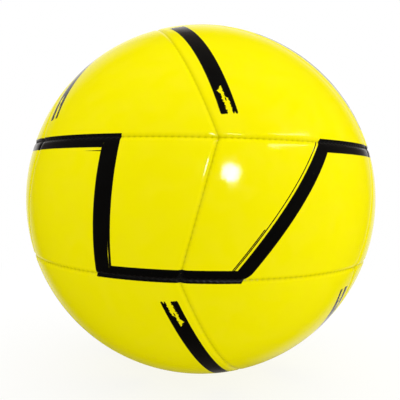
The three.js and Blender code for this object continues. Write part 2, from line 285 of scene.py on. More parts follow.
def about_axis(points, turn):
    """Points turned about the vertical axis."""
    c, s = math.cos(turn), math.sin(turn)
    return points @ np.array([[c, s, 0], [-s, c, 0], [0, 0, 1]])


class SeamLayout:
    """The seam lines of the cover. Sector k of the belt starts at upper(k) and lower(k).

    A fan seam is a great circle that passes the pole at a distance whose sine is cos(belt) sin(lean), and
    touch is the longitude from its foot to that place. Corner is how far the corners of a polar panel lie
    from the pole, from the right-angled triangle with half a sector at the pole."""

    def __init__(self, cover, stitching):
        self.radius = cover.radius
        self.belt = cover.belt_height / 2 / cover.radius
        self.ring_scale = cover.radius * math.cos(self.belt)
        self.slant = cover.belt_seam_slant / 2 / self.ring_scale
        pole_distance = math.asin(math.cos(self.belt) * math.sin(cover.fan_seam_lean))
        self.corner = math.atan(math.tan(pole_distance) / math.cos(SECTOR / 2))
        self.touch = math.acos(math.tan(self.belt) * math.tan(pole_distance))
        self.pitch = stitching.pitch
        self.per_stitch = stitching.points_per_stitch
        self.belt_pull, self.fan_pull = stitching.belt_pull, stitching.fan_pull
        ring_length = self.ring_scale * SECTOR
        self.ring_stitches = round(ring_length / self.pitch)
        self.ring_pitch = ring_length / self.ring_stitches
        self.belt_stitches, self.belt_pitch = self.stitches(self.lower(0), self.upper(0))
        self.fan_stitches, self.fan_pitch = self.stitches(self.upper(0), self.polar_corner(-1))

    def upper(self, sector):
        """Where belt seam and fan seam meet on the upper edge of the belt."""
        return direction(sector * SECTOR + self.slant, self.belt)

    def lower(self, sector):
        """Where they meet on the lower edge."""
        return direction(sector * SECTOR - self.slant, -self.belt)

    def polar_corner(self, sector):
        """Corner of the top panel, where fan seam k passes and fan seam k + 1 ends."""
        longitude = sector * SECTOR + self.slant - self.touch + SECTOR / 2
        return direction(longitude, math.pi / 2 - self.corner)

    def stitches(self, start, end):
        """Whole number of stitches along the great circle between two directions, and their pitch."""
        reach = self.radius * math.acos(float(start @ end))
        number = round(reach / self.pitch)
        return number, reach / number

    def fan_normal(self, sector):
        """Square to the great circle of a fan seam, on the left of it going up."""
        return unit(np.cross(self.upper(sector), self.polar_corner(sector)))

    def belt_normal(self, sector):
        """Square to the great circle of a belt seam, on the left of it going up."""
        return unit(np.cross(self.lower(sector), self.upper(sector)))

    def fan_side(self, sector, sign, count):
        """Side of a panel along a fan seam, with a number of stitches."""
        return Side(sign * self.fan_normal(sector), 0.0, self.upper(sector), self.radius,
                    self.fan_pitch, count * self.per_stitch, self.fan_pull)

    def ring_side(self, sign, base, slant):
        """Side of a panel along an edge of the belt, a circle of latitude."""
        return Side(sign * UP, base, direction(slant, 0.0), self.ring_scale,
                    self.ring_pitch, self.ring_stitches * self.per_stitch, 1.0)

    def belt_side(self, sector, sign):
        """Side of a belt panel along a belt seam."""
        return Side(sign * self.belt_normal(sector), 0.0, self.lower(sector), self.radius,
                    self.belt_pitch, self.belt_stitches * self.per_stitch, self.belt_pull)

    def belt_panel(self):
        """Sides of the first belt panel, anticlockwise seen from outside."""
        return [self.ring_side(1, -self.belt, -self.slant), self.belt_side(1, 1),
                self.ring_side(-1, -self.belt, self.slant), self.belt_side(0, -1)]

    def fan_panel(self):
        """Sides of the first fan panel above the belt."""
        right, _ = self.stitches(self.upper(1), self.polar_corner(0))
        left, _ = self.stitches(self.upper(0), self.polar_corner(0))
        return [self.ring_side(1, self.belt, self.slant),
                self.fan_side(1, 1, right), self.fan_side(0, -1, left)]

    def polar_panel(self):
        """Sides of the top panel."""
        count, _ = self.stitches(self.polar_corner(0), self.polar_corner(-1))
        return [self.fan_side(sector, -1, count) for sector in range(BELT_PANELS)]


def inset_rings(sides, distances, radius):
    """Closed rings of directions that lie a distance inside a panel's seams, one ring for each distance.

    A side is where the sphere meets the plane (point . normal) = sin(base + distance / radius), so its
    inset is a plane moved inwards. Two neighbouring planes meet the sphere in a corner, and between two
    corners the points lie evenly on the circle of their plane."""
    heights = [np.sin(side.base + distances / radius)[:, None] for side in sides]
    corners = []
    for i, side in enumerate(sides):
        before, h_before, h_after = sides[i - 1].normal, heights[i - 1], heights[i]
        lean = before @ side.normal
        spread = 1 - lean * lean
        a = (h_before - lean * h_after) / spread
        b = (h_after - lean * h_before) / spread
        left = 1 - a * a - b * b - 2 * a * b * lean
        corners.append(a * before + b * side.normal + np.sqrt(left / spread) * np.cross(before, side.normal))
    arcs = []
    for i, side in enumerate(sides):
        start, end = corners[i], corners[(i + 1) % len(sides)]
        middle = heights[i] * side.normal
        across = np.linalg.norm(start - middle, axis=1, keepdims=True)
        first = (start - middle) / across
        second = np.cross(side.normal, first)
        turn = np.arctan2((end * second).sum(1), (end * first).sum(1)) % (2 * np.pi)
        turns = (turn[:, None] * np.arange(side.count) / side.count)[..., None]
        arcs.append(middle[:, None] + across[:, None] * (
            np.cos(turns) * first[:, None] + np.sin(turns) * second[:, None]))
    return np.concatenate(arcs, axis=1)


def seam_distances(ways, sides, radius):
    """Distance of each direction from each side: the arc between it and the side's plane circle."""
    return np.stack([radius * (np.arcsin(np.clip(ways @ side.normal, -1, 1)) - side.base)
                     for side in sides], -1)


def soft_least(values, softness):
    """The least of several values, rounded off where two are close: -s log(sum of exp(-value / s))."""
    least = values.min(-1, keepdims=True)
    return least[..., 0] - softness * np.log(np.exp((least - values) / softness).sum(-1))


def skin_depth(ways, sides, cover, stitching):
    """How far the skin lies below the crown.

    A power of the soft least distance to the seams, with an exponential crease at its bottom and sag
    beside it, a pit at the corners, and at every stitch a raised cosine that fades away from the seam."""
    inside = seam_distances(ways, sides, cover.radius) - cover.edge_gap / 2
    least = soft_least(inside, cover.corner_softness)
    off_seam = np.maximum(least, 0)
    rise = np.clip(least / cover.groove_half_width, 0, 1)
    depth = cover.groove_depth * (1 - rise) ** cover.groove_curve
    depth += cover.crease_depth * np.exp(-off_seam / cover.crease_reach)
    depth += cover.shoulder_sag * np.exp(-off_seam / cover.shoulder_reach)
    depth += cover.corner_pit * np.clip(-least / cover.corner_softness, 0, 1)
    for i, side in enumerate(sides):
        along = side.scale * np.arctan2(ways @ np.cross(side.normal, side.start), ways @ side.start)
        pull = (0.5 + 0.5 * np.cos(2 * np.pi * along / side.pitch)) ** 2
        fade = np.exp(-np.maximum(inside[..., i], 0) / stitching.pucker_reach)
        depth += stitching.pucker_depth * side.pull * pull * fade
    return depth


def crease_values(ways, sides, cover, stitching):
    """The square of the skin's depth, from 0 on the crown to 1 in a stitch hole: the share of painted shade
    in the grooves and holes, which also dulls the print there.
    """
    deepest = cover.groove_depth + cover.crease_depth + stitching.pucker_depth
    return np.clip(skin_depth(ways, sides, cover, stitching) / deepest, 0, 1) ** 2


def loop_faces(rings, count, closed):
    """Quads between neighbouring rings of a grid whose rings are closed, and whose rows may be too."""
    ring = np.arange(rings if closed else rings - 1)[:, None]
    i = np.arange(count)[None]
    here, there = ring * count, ((ring + 1) % rings) * count
    after = (i + 1) % count
    return np.stack([here + i, here + after, there + after, there + i], -1).reshape(-1, 4)


def loft(rings, poles=None):
    """Points, quads and triangles of a closed surface over rings of points. The first and the last ring
    close in two poles, or in each other where no poles are given."""
    total, count = rings.shape[:2]
    points = rings.reshape(-1, 3)
    quads = loop_faces(total, count, poles is None)
    if poles is None:
        return points, quads, NO_TRIANGLES
    i = np.arange(count)
    after = (i + 1) % count
    last = len(points) - count
    low, high = np.full(count, len(points)), np.full(count, len(points) + 1)
    triangles = np.concatenate([
        np.stack([low, after, i], -1), np.stack([high, last + i, last + after], -1)])
    return np.concatenate([points, poles]), quads, triangles


def panel_surface(sides, cover, stitching, hole_radius=0.0):
    """Surface of a closed panel.

    Rings of points run from the middle of the lining to the stitched edge, up its wall, over the rolled
    border and on to the middle of the skin, or to the rim of a round hole there."""
    radius, wall = cover.radius, cover.edge_gap / 2
    roll_steps, wall_steps, rim_steps = 12, 3, 5
    crowding = 1.6  # power that crowds the rings towards the seam
    beyond = np.array([0.8, 1.8, 3.2, 5.0]) * MM  # rings that widen out beside the groove
    rolled = cover.groove_half_width * np.linspace(0, 1, roll_steps + 1) ** crowding
    skin = inset_rings(sides, wall + np.append(rolled, cover.groove_half_width + beyond), radius)
    flange = wall + cover.turn_in_width
    edge_end = cover.panel_thickness + cover.turn_in_depth
    hem = inset_rings(sides, np.array([flange, flange] + [wall] * (wall_steps + 1)), radius)
    hem_depth = np.append([cover.panel_thickness, edge_end],
                          np.linspace(edge_end, cover.wall_top, wall_steps + 1))

    middle = unit(skin[-1].sum(0))
    rim = np.broadcast_to(middle, skin[:1].shape)
    if hole_radius:
        heading = unit(skin[-1] - (skin[-1] @ middle)[:, None] * middle)
        rim_turn = np.linspace(0, math.pi / 2, rim_steps + 1)[:, None]
        rim_depth = cover.valve_rim * (1 - np.cos(rim_turn))
        rim_reach = (hole_radius + cover.valve_rim * (1 - np.sin(rim_turn[..., None]))) / radius
        rim = np.cos(rim_reach) * middle + np.sin(rim_reach) * heading
    crown_shares = np.arange(1, cover.crown_rings + 1) / (cover.crown_rings + 1)
    lining_shares = np.array([0.75, 0.5, 0.25])
    skin = np.concatenate([skin, slerp(skin[-1], rim[0], crown_shares[:, None, None])])
    lining = slerp(hem[0], rim[-1], lining_shares[:, None, None])
    poles = np.outer([radius - cover.panel_thickness, radius], middle)
    if hole_radius:
        skin = np.concatenate([skin, rim])
        lining = np.concatenate([rim[-1:], lining])
        poles = None
    depth = skin_depth(skin, sides, cover, stitching)
    if hole_radius:
        off_middle = radius * np.arccos(np.clip(skin @ middle, -1, 1))
        depth += cover.valve_dimple * np.exp(-(off_middle / (cover.dimple_spread * hole_radius)) ** 2)
        depth[-len(rim):] += rim_depth

    depths = np.concatenate([
        np.full(lining.shape[:2], cover.panel_thickness),
        np.broadcast_to(hem_depth[:, None], hem.shape[:2]),
        depth])
    return loft(np.concatenate([lining, hem, skin]) * (radius - depths)[..., None], poles)


def turned_surface(profile, segments):
    """A profile of (distance from the axis, height) carried round the vertical axis. Where the profile
    starts and ends on the axis its ends close in points, and otherwise it closes on itself."""
    on_axis = profile[0, 0] == 0
    body = profile[1:-1] if on_axis else profile
    turn = np.arange(segments) * 2 * np.pi / segments
    rings = np.stack([body[:, :1] * np.cos(turn), body[:, :1] * np.sin(turn),
                      np.broadcast_to(body[:, 1:], (len(body), segments))], -1)
    return loft(rings, profile[[0, -1], 1:] * UP if on_axis else None)


def rounded_profile(corners, rounding, steps=5):
    """Corners of a profile replaced by short quadratic curves that start and end a rounding away, or
    nearly half a side where that is shorter. Ends that lie on the axis are kept."""
    corners = np.asarray(corners, float)
    longest = 0.45
    to_before, to_after = np.roll(corners, 1, 0) - corners, np.roll(corners, -1, 0) - corners
    near = np.minimum(rounding, longest * np.linalg.norm(to_before, axis=1))[:, None]
    far = np.minimum(rounding, longest * np.linalg.norm(to_after, axis=1))[:, None]
    starts, ends = corners + unit(to_before) * near, corners + unit(to_after) * far
    t = np.linspace(0, 1, steps)[None, :, None]
    curves = (1 - t) ** 2 * starts[:, None] + 2 * t * (1 - t) * corners[:, None] + t * t * ends[:, None]
    if corners[0, 0] > 0:
        return curves.reshape(-1, 2)
    return np.concatenate([corners[:1], curves[1:-1].reshape(-1, 2), corners[-1:]])


def stitch_surface(centres, tangents, radius, stitching):
    """Stitches across a seam, and the place of their points across it in millimetres.

    Each stitch is a round bar from one edge to the other, carried along a low arch that slants a little
    along the seam and dives into both edges, thinner at its ends."""
    stations, around = 7, 6
    t = np.linspace(-1, 1, stations)
    height = radius - stitching.thread_depth - stitching.stitch_arch * t ** 2
    across = t * stitching.stitch_width / 2
    slant = t * stitching.stitch_slant / 2
    path = (centres[:, None] * height[:, None] + tangents[:, None] * slant[:, None]
            + np.cross(tangents, centres)[:, None] * across[:, None])
    heading = unit(np.gradient(path, axis=1))
    lift = unit(np.cross(heading, tangents[:, None]))
    beside = np.cross(lift, heading)
    thin = stitching.thread_diameter / 2 * (1 - stitching.end_taper * t ** 4)
    turn = np.arange(around) * 2 * np.pi / around
    ring = np.cos(turn)[:, None] * beside[:, :, None] + np.sin(turn)[:, None] * lift[:, :, None]
    points = path[:, :, None] + thin[:, None, None] * ring
    ends = np.stack([np.arange(around)[::-1], (stations - 1) * around + np.arange(around)])
    caps = np.concatenate([ends[:, :4], ends[:, [0, 3, 4, 5]]])  # each six-sided end is two quads
    faces = np.concatenate([loop_faces(stations, around, False), caps])
    offsets = (np.arange(len(centres)) * stations * around)[:, None, None]
    twist = np.broadcast_to(across[:, None] / MM, points.shape[:3])
    return (points.reshape(-1, 3), (faces + offsets).reshape(-1, 4), NO_TRIANGLES), twist.ravel()


# Pieces in Blender

def add_mesh(name, surface, material):
    """A smooth mesh object at the origin from whole arrays of points and faces."""
    points, quads, triangles = surface
    mesh = bpy.data.meshes.new(name)
    corners = np.concatenate([quads.ravel(), triangles.ravel()]).astype(np.int32)
    starts = np.concatenate([
        4 * np.arange(len(quads)), 4 * len(quads) + 3 * np.arange(len(triangles))]).astype(np.int32)
    mesh.vertices.add(len(points))
    mesh.vertices.foreach_set("co", np.asarray(points, np.float32).ravel())
    mesh.loops.add(len(corners))
    mesh.loops.foreach_set("vertex_index", corners)
    mesh.polygons.add(len(starts))
    mesh.polygons.foreach_set("loop_start", starts)
    mesh.polygons.foreach_set("use_smooth", np.ones(len(starts), bool))
    mesh.update(calc_edges=True)
    if mesh.validate():
        raise RuntimeError(f"{name} has faces that Blender had to repair")
    mesh.materials.append(material)
    piece = bpy.data.objects.new(name, mesh)
    bpy.context.scene.collection.objects.link(piece)
    return piece


def add_piece(node, suffix, surface, material, slot, **values):
    """A piece of the ball that stands for a CAD node, with one or three numbers at each of its points
    under the names that its material reads."""
    piece = add_mesh(f"{node}_{suffix}", surface, material)
    for name, numbers in values.items():
        kind, key = ("FLOAT", "value") if numbers.ndim == 1 else ("FLOAT_VECTOR", "vector")
        attribute = piece.data.attributes.new(name, kind, "POINT")
        attribute.data.foreach_set(key, numbers.astype(np.float32).ravel())
    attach(piece, BODY)
    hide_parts(node)


# Materials

class Signal:
    """What a node gives. Signals that are numbers can be calculated with."""

    def __init__(self, nodes, socket):
        self.nodes = nodes
        self.socket = socket

    def __add__(self, other):
        return self.nodes.math("ADD", self, other)

    def __sub__(self, other):
        return self.nodes.math("SUBTRACT", self, other)

    def __rsub__(self, other):
        return self.nodes.math("SUBTRACT", other, self)

    def __mul__(self, other):
        return self.nodes.math("MULTIPLY", self, other)

    def __truediv__(self, other):
        return self.nodes.math("DIVIDE", self, other)

    def __abs__(self):
        return self.nodes.math("ABSOLUTE", self)

    def __neg__(self):
        return self * -1.0


class Nodes:
    """Short calls that add nodes to the tree of a material or a world. A value may be plain or a signal."""

    def __init__(self, owner, shader="Principled BSDF"):
        owner.use_nodes = True
        self.owner = owner
        self.tree = owner.node_tree
        self.shader = self.tree.nodes[shader]

    def put(self, socket, value):
        """Links a signal to a socket, or sets the socket to a plain value. A colour becomes opaque."""
        if isinstance(value, Signal):
            self.tree.links.new(value.socket, socket)
        elif socket.type == "RGBA":
            socket.default_value = (*value, 1.0)
        else:
            socket.default_value = value

    def add(self, kind, values=(), output=0, **settings):
        """Adds a node, fills the sockets that are named or numbered, and gives one of its outputs."""
        node = self.tree.nodes.new(kind)
        for name, value in settings.items():
            setattr(node, name, value)
        for socket, value in dict(values).items():
            self.put(node.inputs[socket], value)
        return Signal(self, node.outputs[output])

    def shade(self, **values):
        """Sets the shader's own sockets, by their names with underscores for spaces."""
        for name, value in values.items():
            self.put(self.shader.inputs[name.replace("_", " ")], value)

    def blend(self, factor, other):
        """Sends the shader to the output, with another one mixed in by a factor."""
        shader = Signal(self, self.shader.outputs[0])
        both = self.add("ShaderNodeMixShader", {0: factor, 1: shader, 2: other})
        self.put(self.tree.get_output_node("ALL").inputs["Surface"], both)

    def math(self, operation, *values):
        return self.add("ShaderNodeMath", enumerate(values), operation=operation)

    def least(self, *values):
        return reduce(lambda a, b: self.math("MINIMUM", a, b), values)

    def most(self, *values):
        return reduce(lambda a, b: self.math("MAXIMUM", a, b), values)

    def ramp(self, value, low, high, to_low=0.0, to_high=1.0):
        """A smooth step of a value from low to high."""
        given = enumerate((value, low, high, to_low, to_high))
        return self.add("ShaderNodeMapRange", given, interpolation_type="SMOOTHSTEP")

    def mix(self, factor, a, b):
        """A colour between a and b."""
        return self.add("ShaderNodeMix", {0: factor, 6: a, 7: b}, 2, data_type="RGBA")

    def attribute(self, name, output="Fac"):
        return self.add("ShaderNodeAttribute", output=output, attribute_name=name)

    def parts(self, value):
        """The three numbers of a vector."""
        outputs = self.add("ShaderNodeSeparateXYZ", {0: value}).socket.node.outputs
        return [Signal(self, socket) for socket in outputs]

    def place(self):
        """Object coordinates."""
        return self.add("ShaderNodeTexCoord", output="Object")

    def noise(self, place, scale, detail=2.0):
        return self.add("ShaderNodeTexNoise", {"Vector": place, "Scale": scale, "Detail": detail}, "Fac")

    def wander(self, place, scale, reach):
        """Noise about zero that strays at most about a reach to either side."""
        return (self.noise(place, scale) - 0.5) * (3 * reach)

    def bump(self, height, distance, strength, **before):
        """The normal over a relief. Normal= gives one to start from."""
        values = {"Height": height, "Distance": distance, "Strength": strength, **before}
        return self.add("ShaderNodeBump", values)


def band_reach(nodes, cover, prints):
    """How far inside the stepped band a point lies, and its places across both legs and above the equator,
    all in millimetres, negative outside.

    The place is the arc along the equator and above it. The band is the greatest of four reaches: the
    upright leg, the slanted leg, the run along the top edge outside the legs, and the run along the
    bottom edge between them. The slanted leg's outer corner is rounded off, and the band ends a little
    past the edges of the belt."""
    x, y, _ = nodes.parts(nodes.attribute("belt_place", "Vector"))
    half = cover.belt_height / 2 / MM
    leg_half, slant_half = prints.leg_width / 2 / MM, prints.slant_width / 2 / MM
    off_leg = x - prints.leg_place / MM + y * math.tan(prints.leg_lean)
    slant_x = (x - prints.slant_place / MM) * math.cos(prints.slant_lean)
    off_slant = slant_x - y * math.sin(prints.slant_lean)
    corner = nodes.ramp(y, -half, prints.corner_height / MM - half, prints.corner_cut / MM, 0.0)
    slant_outer, slant_inner = slant_half - off_slant - corner, off_slant + slant_half
    leg = leg_half - abs(off_leg)
    slant = nodes.least(slant_outer, slant_inner)
    outside = nodes.most(leg_half - off_leg, slant_inner)
    between = nodes.least(off_leg + leg_half, slant_outer)
    top = nodes.least(y - (half - prints.top_run / MM), outside)
    bottom = nodes.least(prints.bottom_run / MM - half - y, between)
    past_edge = half + prints.edge_overlap / MM - abs(y)
    return nodes.least(nodes.most(leg, slant, top, bottom), past_edge), off_leg, off_slant, y


def belt_ink(nodes, cover, prints):
    """How far inside the print of the belt a point lies, in millimetres, negative outside.

    Besides the band, a fine line runs beside the slanted leg, doubled low down, and a shorter one tapers
    away from the upright leg. A hairline slit, widest in its middle, is left open in the upright leg."""
    band, off_leg, off_slant, y = band_reach(nodes, cover, prints)
    leg_half, slant_half = prints.leg_width / 2 / MM, prints.slant_width / 2 / MM
    fine = prints.pinstripe_width / 2 / MM
    doubling = 2.5 * fine
    beside = off_slant + (slant_half + prints.pinstripe_gap / MM)
    line = fine - abs(beside)
    second = nodes.least(fine - abs(beside + doubling), -prints.pinstripe_double / MM - y)
    taper = (off_leg + leg_half) * (fine * MM / prints.tail_length)
    tail = nodes.least(taper + fine - abs(y - prints.tail_height / MM), -off_leg)
    off_slit = abs(off_leg - (leg_half - prints.slit_inset / MM))
    slit_taper = abs(y + prints.slit_depth / MM) * (prints.slit_width / prints.slit_length)
    slit_half = prints.slit_width / 2 / MM - slit_taper
    return nodes.most(nodes.least(band, off_slit - slit_half), line, second, tail)


def fan_ink(nodes, cover, prints):
    """How far inside the stripe of a fan panel a point lies, in millimetres, negative outside.

    The place is the distance across from the stripe's middle and along from the belt. The stripe is the
    least of its reaches to its sides and ragged ends, less a worn gap that opens from the lower end, with
    an island of ink in it and a notch beside it. Along the belt the panel also takes the edge of the band."""
    place = nodes.attribute("stripe_place", "Vector")
    across, along, _ = nodes.parts(place)
    ragged = nodes.wander(place, 0.8, 0.5) + nodes.wander(place, 2.4, 0.4)
    sides = prints.stripe_width / 2 / MM - abs(across)
    from_start = along - prints.stripe_start / MM
    foot_slope, foot_wear, foot_rounding, end_wear = 0.2, 0.7, 1.0, 3.0
    start = from_start + across * foot_slope + ragged * foot_wear
    end = prints.stripe_end / MM - along + ragged * end_wear
    foot = nodes.math("SMOOTH_MIN", sides, start, foot_rounding)

    # The sides of the worn gap step by millimetres, at shares of its length.
    gap_end, peak_place, peak_height = prints.flake_length / MM, 0.4, 0.6
    off_peak = across - peak_place
    left = (nodes.ramp(along, 0.52 * gap_end, 0.60 * gap_end, 0.75, 0.9)
            + nodes.ramp(along, 0.82 * gap_end, 0.95 * gap_end, 0.0, 1.2))
    right = nodes.ramp(along, 0.70 * gap_end, 0.75 * gap_end, 1.6, 0.4)
    peak = gap_end + peak_height - along - abs(off_peak)
    gap = nodes.least(across + left, right - across, peak) + ragged
    island_place, slimness, island_size, island_slope = 0.70 * gap_end, 4.0, 1.2, 0.3
    island_across, island_along = off_peak * slimness, along - island_place
    island = island_across * island_across + island_along * island_along
    gap = nodes.least(gap, (island - island_size) * island_slope)
    notch_place, notch_half, notch_taper = 2.45, 0.22, 0.35
    notch = notch_half - abs(across - notch_place) - nodes.most(from_start * notch_taper, 0.0)
    stripe = nodes.least(foot, end, -nodes.most(gap, notch))
    return nodes.most(stripe, band_reach(nodes, cover, prints)[0])


def skin_material(name, finish, ink=None, *sizes):
    """Glossy synthetic leather: faint clouds of tint, painted shade that turns the skin olive in the creases
    as deep as the grooves and stitch holes go, fine grain, a slightly uneven foam backing, and a sheen that
    keeps its colour strong at a slant. Where the ink's reach is above zero there is a black print with worn
    spots, the relief of its film and a warm sheen of its own, and it is duller in the grooves."""
    nodes = Nodes(bpy.data.materials.new(name))
    place = nodes.place()
    clouds = nodes.noise(place, scale=45.0, detail=3.0)
    tint = nodes.mix(nodes.ramp(clouds, 0.35, 0.75, 0.0, 0.10), finish.skin, finish.skin_shade)
    # Painted shade: the skin turns olive in the grooves and stitch holes by their depth.
    crease = nodes.attribute("crease")
    body = nodes.mix(crease, tint, finish.crease)
    gloss = nodes.noise(place, scale=160.0, detail=3.0)
    rough = nodes.ramp(gloss, 0.3, 0.7, finish.roughness - 0.03, finish.roughness + 0.05)
    backing = nodes.bump(nodes.noise(place, scale=240.0), distance=0.15 * MM, strength=0.22)
    grain = nodes.bump(nodes.noise(place, scale=2300.0), 0.04 * MM, strength=0.10, Normal=backing)
    sheen, sheen_tint = finish.skin_sheen, finish.skin
    if ink is not None:
        reach = ink(nodes, *sizes) + nodes.wander(place, scale=1500.0, reach=0.06)
        printed = nodes.ramp(reach, -0.10, 0.10)
        worn = nodes.ramp(nodes.noise(place, scale=900.0, detail=4.0), 0.28, 0.20, 0.0, finish.ink_wear)
        body = nodes.mix(printed * (1.0 - worn), body, finish.ink)
        rough = rough + printed * (crease * 0.8 + 0.05)
        film = printed * nodes.noise(place, scale=800.0, detail=3.0)
        grain = nodes.bump(printed + film, 0.04 * MM, strength=0.3, Normal=grain)
        sheen = printed * (finish.ink_sheen - finish.skin_sheen) + finish.skin_sheen
        sheen_tint = nodes.mix(printed, finish.skin, finish.ink_sheen_tint)
    nodes.shade(Base_Color=body, Roughness=rough, Normal=grain, IOR=1.4,
                Sheen_Weight=sheen, Sheen_Roughness=0.35, Sheen_Tint=sheen_tint)
    return nodes.owner


def thread_material(finish):
    """Waxed thread: strands that wind round each stitch, with painted shade between them: darker in the
    hollows of their relief, lighter on their crowns.
    """
    nodes = Nodes(bpy.data.materials.new("seam_thread"))
    fuzz = nodes.noise(nodes.place(), scale=2600.0, detail=3.0)
    winding = 14.0  # radians for each millimetre
    strands = nodes.math("SINE", nodes.attribute("twist") * winding + fuzz)
    # Painted shade: the thread is darker where the strands' relief is low.
    tone = nodes.mix(nodes.ramp(strands, -0.8, 0.6), finish.thread * 0.8, finish.thread)
    relief = nodes.bump(strands, distance=0.05 * MM, strength=0.3)
    nodes.shade(Base_Color=tone, Roughness=nodes.ramp(fuzz, 0.2, 0.8, 0.45, 0.65), Normal=relief)
    return nodes.owner


def rubber_material(name, finish, scale):
    """Moulded rubber: near-black with a dusty bloom, satin and finely pitted."""
    nodes = Nodes(bpy.data.materials.new(name))
    place = nodes.place()
    bloom = nodes.noise(place, scale, detail=4.0)
    tone = nodes.mix(nodes.ramp(bloom, 0.4, 0.75), finish.rubber, finish.rubber * 2.4)
    pits = nodes.bump(nodes.noise(place, 12 * scale), distance=0.05 * MM, strength=0.25)
    nodes.shade(Base_Color=tone, Roughness=nodes.ramp(bloom, 0.3, 0.7, 0.42, 0.58), Normal=pits)
    return nodes.owner


def foam_material(finish):
    """Open soft foam: cells of several sizes, with painted shade darkening their hollows."""
    nodes = Nodes(bpy.data.materials.new("damping_foam_cells"))
    cells = nodes.add("ShaderNodeTexVoronoi", {"Vector": nodes.place(), "Scale": 700.0}, "Distance")
    # Painted shade: the foam is darker towards the middle of each cell, where its relief is lowest.
    tone = nodes.mix(nodes.ramp(cells, 0.1, 0.55), finish.foam * 0.55, finish.foam)
    relief = nodes.bump(cells, distance=0.4 * MM, strength=0.7)
    nodes.shade(Base_Color=tone, Roughness=0.95, Normal=relief)
    return nodes.owner


def cloth_material(finish):
    """Woven tape: threads that cross over and under, from two waves multiplied, with painted shade where the
    weave dips.
    """
    nodes = Nodes(bpy.data.materials.new("patch_weave"))
    thread_pair = 0.8 * MM
    warp, weft, _ = [nodes.math("SINE", part * (2 * math.pi / thread_pair))
                     for part in nodes.parts(nodes.place())]
    weave = warp * weft
    # Painted shade: the tape is darker where the weave's relief is low.
    tone = nodes.mix(nodes.ramp(weave, -0.9, 0.9), finish.cloth * 0.7, finish.cloth)
    nodes.shade(Base_Color=tone, Roughness=0.9, Normal=nodes.bump(weave, 0.15 * MM, strength=0.5))
    return nodes.owner


def floor_material():
    """Pale floor: lit and shaded as a matt surface near the ball, plain white to the eye further off."""
    nodes = Nodes(bpy.data.materials.new("pale_floor"))
    place = nodes.place()
    mottle = nodes.noise(place, scale=9.0, detail=3.0)
    pale, paler = (0.84, 0.84, 0.84), (0.88, 0.88, 0.88)
    nodes.shade(Base_Color=nodes.mix(mottle, pale, paler), Roughness=0.9)
    distance = nodes.add("ShaderNodeVectorMath", {0: place}, "Value", operation="LENGTH")
    white_share = nodes.ramp(distance, 0.11, 0.40, 0.82, 1.0)
    seen = nodes.add("ShaderNodeLightPath", output="Is Camera Ray")
    nodes.blend(seen * white_share, nodes.add("ShaderNodeEmission"))
    return nodes.owner


def studio_world(stage):
    """Soft light from all round. In a direction (x, y, z) it is light + slope . (x, y, z) + sides x^2
    - ring y^2: it grows evenly towards one side, is strongest from the left and right and weakest from the
    front and back.

    The eye sees a white backdrop. Gloss sees the part of it behind the ball, dark near the floor, and a
    slanting streak round it from the upper left to the lower right, and little of the rest."""
    nodes = Nodes(bpy.data.worlds.new("studio"), "Background")
    x, y, z = nodes.parts(nodes.add("ShaderNodeTexCoord", output="Generated"))
    right, back, top = stage.studio_slope
    growth = x * (x * stage.studio_sides + right) + y * (back - y * stage.studio_ring) + z * top
    nodes.shade(Color=(1.0, 1.0, 1.0), Strength=growth + stage.studio_light)

    sideways = nodes.math("SQRT", x * x + z * z)
    to_right, to_top = x / sideways, z / sideways
    behind = nodes.ramp(y, 0.62, 0.95, stage.dark_gloss, 1.0)
    floor_right, floor_top = -0.14, -0.99
    to_floor = to_right * floor_right + to_top * floor_top
    above_floor = nodes.ramp(to_floor, 0.64, 0.94, 1.0, stage.floor_gloss)
    round_it = nodes.ramp(y, 0.50, 0.80, 0.0, stage.streak_gloss)
    streak = round_it * nodes.ramp(to_right * to_top, -0.2, -0.5)
    camera, glossy, through = [nodes.add("ShaderNodeLightPath", output=f"Is {ray} Ray")
                               for ray in ("Camera", "Glossy", "Transmission")]
    shown = nodes.most(behind * above_floor, streak, camera)
    backdrop = nodes.add("ShaderNodeBackground", {"Color": (1.0, 1.0, 1.0), "Strength": shown})
    nodes.blend(nodes.most(camera, glossy, through), backdrop)
    return nodes.owner


# Operators

class BallOperator:
    """What the ball's operators share."""

    bl_options = {"REGISTER", "UNDO"}

    def groups(self, context):
        """The settings that shape, stitch, print and colour the cover."""
        scene = context.scene
        return scene.ball_cover, scene.ball_stitching, scene.ball_print, scene.ball_finish


def band_place(ways, sector, cover):
    """Arc of each direction along the equator and above it, in millimetres, from the band's middle seam.
    The band repeats over two panels: one to the right of that seam and one to the left."""
    longitude = np.arctan2(ways[:, 0], -ways[:, 1]) - SECTOR * (sector % 2)
    latitude = np.arcsin(np.clip(ways[:, 2], -1, 1))
    return np.stack([longitude, latitude, np.zeros_like(latitude)], -1) * cover.radius / MM


class BALL_OT_belt_panels(BallOperator, bpy.types.Operator):
    """Builds the six panels of the belt with the stepped band printed on them"""

    bl_idname = "ball.belt_panels"
    bl_label = "Belt panels"

    def execute(self, context):
        cover, stitching, prints, finish = self.groups(context)
        sides = SeamLayout(cover, stitching).belt_panel()
        points, quads, triangles = panel_surface(sides, cover, stitching)
        ways = unit(points)
        crease = crease_values(ways, sides, cover, stitching)
        skin = skin_material("belt_skin", finish, belt_ink, cover, prints)
        for sector in range(BELT_PANELS):
            surface = about_axis(points, sector * SECTOR), quads, triangles
            add_piece(f"belt_panel_{sector + 1}", "skin", surface, skin, "panel_skin",
                      crease=crease, belt_place=band_place(ways, sector, cover))
        return {"FINISHED"}


